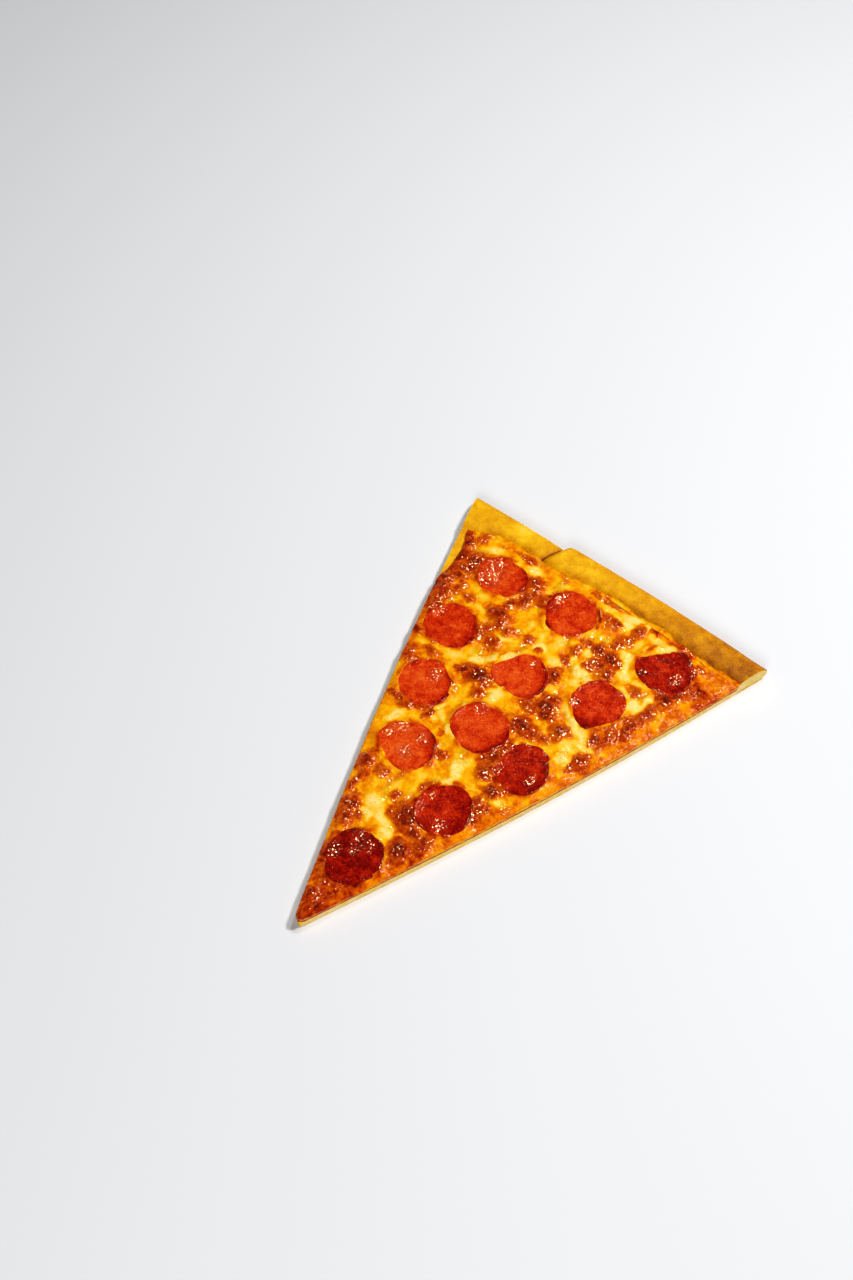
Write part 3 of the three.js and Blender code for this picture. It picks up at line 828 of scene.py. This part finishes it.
def cheese_material(look, colours):
    material, tree, shader = new_material("melted cheese")
    middling = noise_node(tree, 3.2, detail=2, distortion=0.8)
    fine = noise_node(tree, 1.2, detail=3, roughness=0.7)
    place = add_node(tree, "ShaderNodeTexCoord").outputs["Object"]
    cells = add_node(tree, "ShaderNodeTexVoronoi", {"Vector": place, "Scale": 1 / (2.2 * MM)})
    pores = range_node(tree, step_node(tree, cells.outputs["Distance"], 0.05, 0.25), 0.45, 0.0)
    brown = wobble(tree, attribute_node(tree, "brown"), (middling, 0.2), (fine, 0.08))
    pale = wobble(tree, attribute_node(tree, "pale"), (middling, 0.35), (fine, 0.3))
    tone = wobble(tree, attribute_node(tree, "tone"), (middling, 0.2), (fine, 0.14))
    halo = math_node(tree, "MULTIPLY", step_node(tree, brown, 0.02, 0.5), 0.25)
    tone = math_node(tree, "ADD", tone, halo)
    spotted = step_node(tree, brown, 0.2, 0.82)
    creamy = step_node(tree, pale, 0.16, 0.8)
    creamy = math_node(tree, "MULTIPLY", creamy, math_node(tree, "SUBTRACT", 1, spotted))
    burnt = math_node(tree, "MULTIPLY", attribute_node(tree, "depth"),
                      step_node(tree, brown, 0.3, 1.0))
    burnt = wobble(tree, range_node(tree, burnt, 0.63, 0.94), (middling, 0.16), (fine, 0.15))
    cream = math_node(tree, "ADD", wobble(tree, 0.15, (fine, 0.36)), pores)
    brown_and_shade = mix_node(tree, creamy, tone, cream)
    brown_and_shade = mix_node(tree, spotted, brown_and_shade, burnt)
    colour = ramp_node(tree, brown_and_shade, [
        (0.0, colours.cheese_cream), (0.4, colours.cheese_yellow), (0.62, colours.cheese_orange),
        (0.82, colours.cheese_brown), (1.0, colours.cheese_burnt),
    ])
    feed(tree, shader, {"Base Color": colour, "Roughness": look.cheese_roughness})
    gloss = attribute_node(tree, "gloss")
    facets = facet_bumps(tree, 0.95, 0.34, range_node(tree, gloss, 0.15, 1.0))
    oil_film(tree, shader, range_node(tree, gloss, 0.05, 0.65), facets, colours.oil)
    return material


# ---- Pepperoni ----

RINGS = 42
SPOKES = 150
MEAN_RADIUS = 18
TOP_SPARE = 0.7  # from the plain top to the top of the solid, for the curl
DARKEST = 0.86


def disc():
    """A closed round slab of radius 1: rings on top, an edge of level 0 to 1, and below."""
    bm = bmesh.new()
    section = [(i / RINGS, 0) for i in range(RINGS + 1)]
    section += [(1, -level / 4) for level in range(1, 5)] + [(0.6, -1), (0, -1)]
    verts = [bm.verts.new((share, 0, level)) for share, level in section]
    edges = [bm.edges.new(pair) for pair in zip(verts, verts[1:])]
    bmesh.ops.spin(bm, geom=verts + edges, axis=(0, 0, 1), cent=(0, 0, 0),
                   angle=2 * math.pi, steps=SPOKES, use_merge=True, use_duplicate=False)
    bmesh.ops.remove_doubles(bm, verts=bm.verts[:], dist=1e-5)
    bmesh.ops.recalc_face_normals(bm, faces=bm.faces[:])
    return bm


def pepperoni_places(bm, slice_, seed):
    """Disc to slice: a ragged outline, a curled grainy top and the slopes facing the light."""
    grid = coordinates(bm)
    share = np.hypot(grid[:, 0], grid[:, 1])
    angle = np.arctan2(grid[:, 1], grid[:, 0])
    level = -grid[:, 2]
    ragged = clouds(3 * np.cos(angle), 3 * np.sin(angle), (1.2, 2.1, seed), (0.3, 0.7, seed + 6))
    reach = slice_.radius(angle) + 0.85 * ragged + 0.4
    rounded = 1 - 0.02 * (2 * level - 1) ** 4
    x = slice_.x + reach * share * np.cos(angle) * rounded
    y = slice_.y + reach * share * np.sin(angle) * rounded
    curl = 0.55 * share ** 3 * (1 + 0.7 * np.cos(2 * angle + seed))
    bumps = clouds(x, y, (0.16, 8, seed + 1), (0.06, 3, seed + 2), (0.05, 0.9, seed + 4))
    top = slice_.high - TOP_SPARE + curl + bumps + 0.07 * creases(x, y, 1.8, seed + 3)
    gloss = 0.6 * fade(share, 0.8, 0.97) * fade(cloud(x, y, 6, seed + 7), 0, 0.4)
    for dx, dy, width in slice_.slopes:
        along = x - slice_.x - dx
        near = bell(along, width) * bell(y - slice_.y - dy, width)
        top = top - 0.2 * along * near
        gloss = np.maximum(gloss, fade(near, 0.15, 0.6))
    top = top - 0.25 * fade(share, 0.965, 1.0)
    low = slice_.low + curl * 0.4
    return (x, y, mix(top, low, level)), share, level, gloss


def pepperoni_darkness(x, y, slice_, share, level, seed):
    """How dark each spot is, browned and on the darkest slices also painted shade: most at the edge
    of the darkest side, least on the wall.
    """
    beside = slice_.towards(x, y, slice_.dark_to) / MEAN_RADIUS
    burnt = 0.04 + 0.16 * cloud(x, y, 12, seed + 8)
    rim = 0.12 * fade(share, 0.75, 0.95) + burnt * fade(share, 0.93, 1)
    # The slice's darkness holds painted shade on the darkest slices.
    dark = slice_.darkness + rim * (1.25 - 1.2 * slice_.darkness)
    dark = dark + 0.3 * fade(beside, 0.45, 1) + 0.15 * cloud(x, y, 9, seed + 5)
    dark = dark + 0.2 * fade(share, 0.86, 0.97) * fade(beside, 0.3, 0.8)
    return np.minimum(dark, DARKEST) - 0.3 * fade(level, 0, 0.25)


def pepperoni_material(look, colours):
    material, tree, shader = new_material("pepperoni")
    dark = attribute_node(tree, "dark")
    mottled = wobble(tree, dark, (noise_node(tree, 5, detail=4, distortion=0.6), 0.5),
                     (noise_node(tree, 2, detail=2), 0.24),
                     (noise_node(tree, 1, detail=3, roughness=0.7), 0.46))
    colour = ramp_node(tree, mottled, [
        (0.0, colours.pepperoni_fat), (0.42, colours.pepperoni_red),
        (0.78, colours.pepperoni_dark), (1.0, colours.pepperoni_burnt),
    ])
    feed(tree, shader, {"Base Color": colour, "Roughness": look.pepperoni_roughness})
    gloss = attribute_node(tree, "gloss")
    facets = facet_bumps(tree, 0.75, 0.27, range_node(tree, gloss, 0.15, 1.0))
    oil_film(tree, shader, range_node(tree, gloss, 0.05, 0.7), facets, colours.oil)
    return material


class SLICE_OT_pepperoni(bpy.types.Operator):
    """Build the slices of pepperoni"""
    bl_idname = "pizza.build_pepperoni"
    bl_label = "Pepperoni"

    def execute(self, context):
        settings = context.scene.pizza_slice
        material = pepperoni_material(settings, settings.colours)
        for i, slice_ in enumerate(toppings()):
            bm = disc()
            seed = 100 + 10 * i
            places, share, level, gloss = pepperoni_places(bm, slice_, seed)
            dark = pepperoni_darkness(*places[:2], slice_, share, level, seed)
            make_piece(f"pepperoni_slice_{i + 1:02d}", bm, places, {"dark": dark, "gloss": gloss},
                       material, [slice_.node])
        return {"FINISHED"}


# ---- Stage ----
# Places in metres. Each light looks at the origin.

LIGHTS = {"key": ((0.6, 0.93, 1.8), 0.3), "glint": ((-0.05, 0.87, 1.75), 0.24),
          "fill": ((0.9, -1.6, 1.3), 0.8)}
FLOOR_HALF = 6
CAMERA_PLACE = (0.2949, -0.405, 0.828)
CAMERA_LOOKS = (-0.3633, 0.4438, -0.8192)
SENSOR_MM, LENS_MM = 36, 42.1875


def aim(obj, target):
    obj.rotation_euler = (Vector(target) - obj.location).to_track_quat("-Z", "Y").to_euler()


def add_light(name, power):
    place, size = LIGHTS[name]
    light = bpy.data.lights.new(name, "AREA")
    light.shape = "DISK"
    light.size = size
    light.energy = power
    lamp = bpy.data.objects.new(name, light)
    bpy.context.scene.collection.objects.link(lamp)
    lamp.location = place
    aim(lamp, (0, 0, 0))


def floor_material(colours):
    material, tree, shader = new_material("pale floor")
    feed(tree, shader, {"Base Color": (*colours.floor, 1.0), "Roughness": 0.7,
                        "Specular IOR Level": 0.2})
    return material


def add_floor(colours):
    bm = bmesh.new()
    bmesh.ops.create_grid(bm, x_segments=1, y_segments=1, size=FLOOR_HALF)
    mesh = bpy.data.meshes.new("floor")
    bm.to_mesh(mesh)
    bm.free()
    mesh.materials.append(floor_material(colours))
    floor = bpy.data.objects.new("floor", mesh)
    bpy.context.scene.collection.objects.link(floor)


def add_surroundings(strength):
    """A pale wall all round, dim overhead, so that flat tops mirror little light."""
    world = bpy.data.worlds.new("studio")
    world.use_nodes = True
    tree = world.node_tree
    direction = add_node(tree, "ShaderNodeTexCoord").outputs["Generated"]
    up = add_node(tree, "ShaderNodeSeparateXYZ", {0: direction}).outputs["Z"]
    colour = ramp_node(tree, up, [
        (0.0, linear(235, 236, 238)), (0.06, linear(215, 217, 220)), (0.2, linear(95, 97, 100)),
        (0.5, linear(50, 52, 54)),
    ])
    feed(tree, tree.nodes["Background"], {"Color": colour, "Strength": strength})
    bpy.context.scene.world = world


class SLICE_OT_stage(bpy.types.Operator):
    """Set up the floor, the lights and the camera"""
    bl_idname = "pizza.build_stage"
    bl_label = "Stage"

    def execute(self, context):
        settings = context.scene.pizza_slice
        scene = context.scene
        add_floor(settings.colours)
        add_surroundings(settings.surroundings)
        add_light("key", settings.key_power)
        add_light("glint", settings.glint_power)
        add_light("fill", settings.fill_power)
        camera = bpy.data.cameras.new("camera")
        camera.sensor_width = SENSOR_MM
        camera.lens = LENS_MM
        camera.clip_start = 0.01
        holder = bpy.data.objects.new("camera", camera)
        scene.collection.objects.link(holder)
        holder.location = CAMERA_PLACE
        aim(holder, holder.location + Vector(CAMERA_LOOKS))
        scene.camera = holder
        scene.view_settings.view_transform = "Standard"
        scene.view_settings.look = "None"
        return {"FINISHED"}


# ---- Settings and panel ----

def colour_property(name, description, red, green, blue):
    return FloatVectorProperty(name=name, description=description, default=linear(red, green, blue),
                               size=3, min=0, max=1, subtype="COLOR")


def share_property(name, description, default, low, high):
    return FloatProperty(name=name, description=description, default=default, min=low, max=high,
                         subtype="FACTOR")


def power_property(name, description, default):
    return FloatProperty(name=name, description=description, default=default, min=0, unit="POWER")


class SliceColours(bpy.types.PropertyGroup):
    """The colours of the slice"""
    crumb: colour_property("Crumb", "Inside of the dough at the cuts", 250, 230, 180)
    crust_pale: colour_property("Pale Crust", "Lightest parts of the crust", 251, 196, 18)
    crust_golden: colour_property("Golden Crust", "Well baked crust", 214, 137, 2)
    crust_brown: colour_property("Brown Crust", "Underside and seams of the dough", 134, 60, 8)
    crust_burnt: colour_property("Burnt Crust", "Darkest specks of the underside", 70, 28, 8)
    sauce_dark: colour_property("Dark Sauce", "Darker parts of the sauce", 132, 20, 2)
    sauce_light: colour_property("Light Sauce", "Lighter parts of the sauce", 216, 78, 8)
    cheese_cream: colour_property("Cream Cheese", "Palest patches of the cheese", 255, 236, 168)
    cheese_yellow: colour_property("Yellow Cheese", "Plain melted cheese", 251, 186, 8)
    cheese_orange: colour_property("Orange Cheese", "Cheese soaked with oil", 232, 116, 2)
    cheese_brown: colour_property("Browned Cheese", "Rim of the browned blisters", 176, 44, 2)
    cheese_burnt: colour_property("Burnt Cheese", "Darkest middle of the blisters", 88, 10, 2)
    pepperoni_fat: colour_property("Pepperoni Fat", "Lightest flecks of pepperoni", 236, 100, 28)
    pepperoni_red: colour_property("Pepperoni", "Plain pepperoni", 206, 44, 6)
    pepperoni_dark: colour_property("Dark Pepperoni", "Well baked pepperoni", 148, 12, 4)
    pepperoni_burnt: colour_property("Burnt Pepperoni", "Darkest edges of the pepperoni", 100, 5, 4)
    oil: colour_property("Oil", "Tint of the oil's shine", 255, 205, 150)
    floor: colour_property("Floor", "The floor that the slice lies on", 231, 232, 234)


class SliceSettings(bpy.types.PropertyGroup):
    """What a user would change about the slice and its light"""
    colours: PointerProperty(type=SliceColours)
    lattice_rows: IntProperty(
        name="Detail", description="Rows of small triangles from the tip to the crust",
        default=340, min=40, max=400)
    rim_rows: share_property(
        "Rim Detail", "Share of the dough's rows that lie on the rim", 0.25, 0.1, 0.5)
    crust_roughness: share_property(
        "Crust Roughness", "How matt the baked crust is", 0.5, 0.1, 1)
    cheese_roughness: share_property(
        "Cheese Roughness", "How matt the melted cheese is", 0.14, 0.05, 1)
    pepperoni_roughness: share_property(
        "Pepperoni Roughness", "How matt the pepperoni is", 0.14, 0.05, 1)
    key_power: power_property(
        "Key Light", "Power of the main light, behind and to the right", 31)
    fill_power: power_property("Fill Light", "Power of the soft light from the front", 22)
    glint_power: power_property(
        "Glint Light", "Power of the small light that the oily tops mirror", 10)
    surroundings: FloatProperty(
        name="Surroundings", description="Brightness of the studio walls",
        default=0.4, min=0, max=2)


class VIEW3D_PT_pizza_slice(bpy.types.Panel):
    """Settings and build steps of the slice"""
    bl_label = "Pizza Slice"
    bl_space_type = "VIEW_3D"
    bl_region_type = "UI"
    bl_category = "Pizza"

    def draw(self, context):
        settings = context.scene.pizza_slice
        for group in (settings, settings.colours):
            for title in type(group).__annotations__:
                if title != "colours":
                    self.layout.prop(group, title)
        for step in STEPS:
            self.layout.operator(step.bl_idname)


STEPS = (SLICE_OT_stage, SLICE_OT_dough, SLICE_OT_sauce, SLICE_OT_cheese, SLICE_OT_pepperoni)
CLASSES = (SliceColours, SliceSettings, *STEPS, VIEW3D_PT_pizza_slice)


def register():
    for cls in CLASSES:
        bpy.utils.register_class(cls)
    bpy.types.Scene.pizza_slice = PointerProperty(type=SliceSettings)


def unregister():
    del bpy.types.Scene.pizza_slice
    for cls in reversed(CLASSES):
        bpy.utils.unregister_class(cls)


def main():
    register()
    for step in (bpy.ops.pizza.build_stage, bpy.ops.pizza.build_dough, bpy.ops.pizza.build_sauce,
                 bpy.ops.pizza.build_cheese, bpy.ops.pizza.build_pepperoni):
        step()


if __name__ == "__main__":
    main()
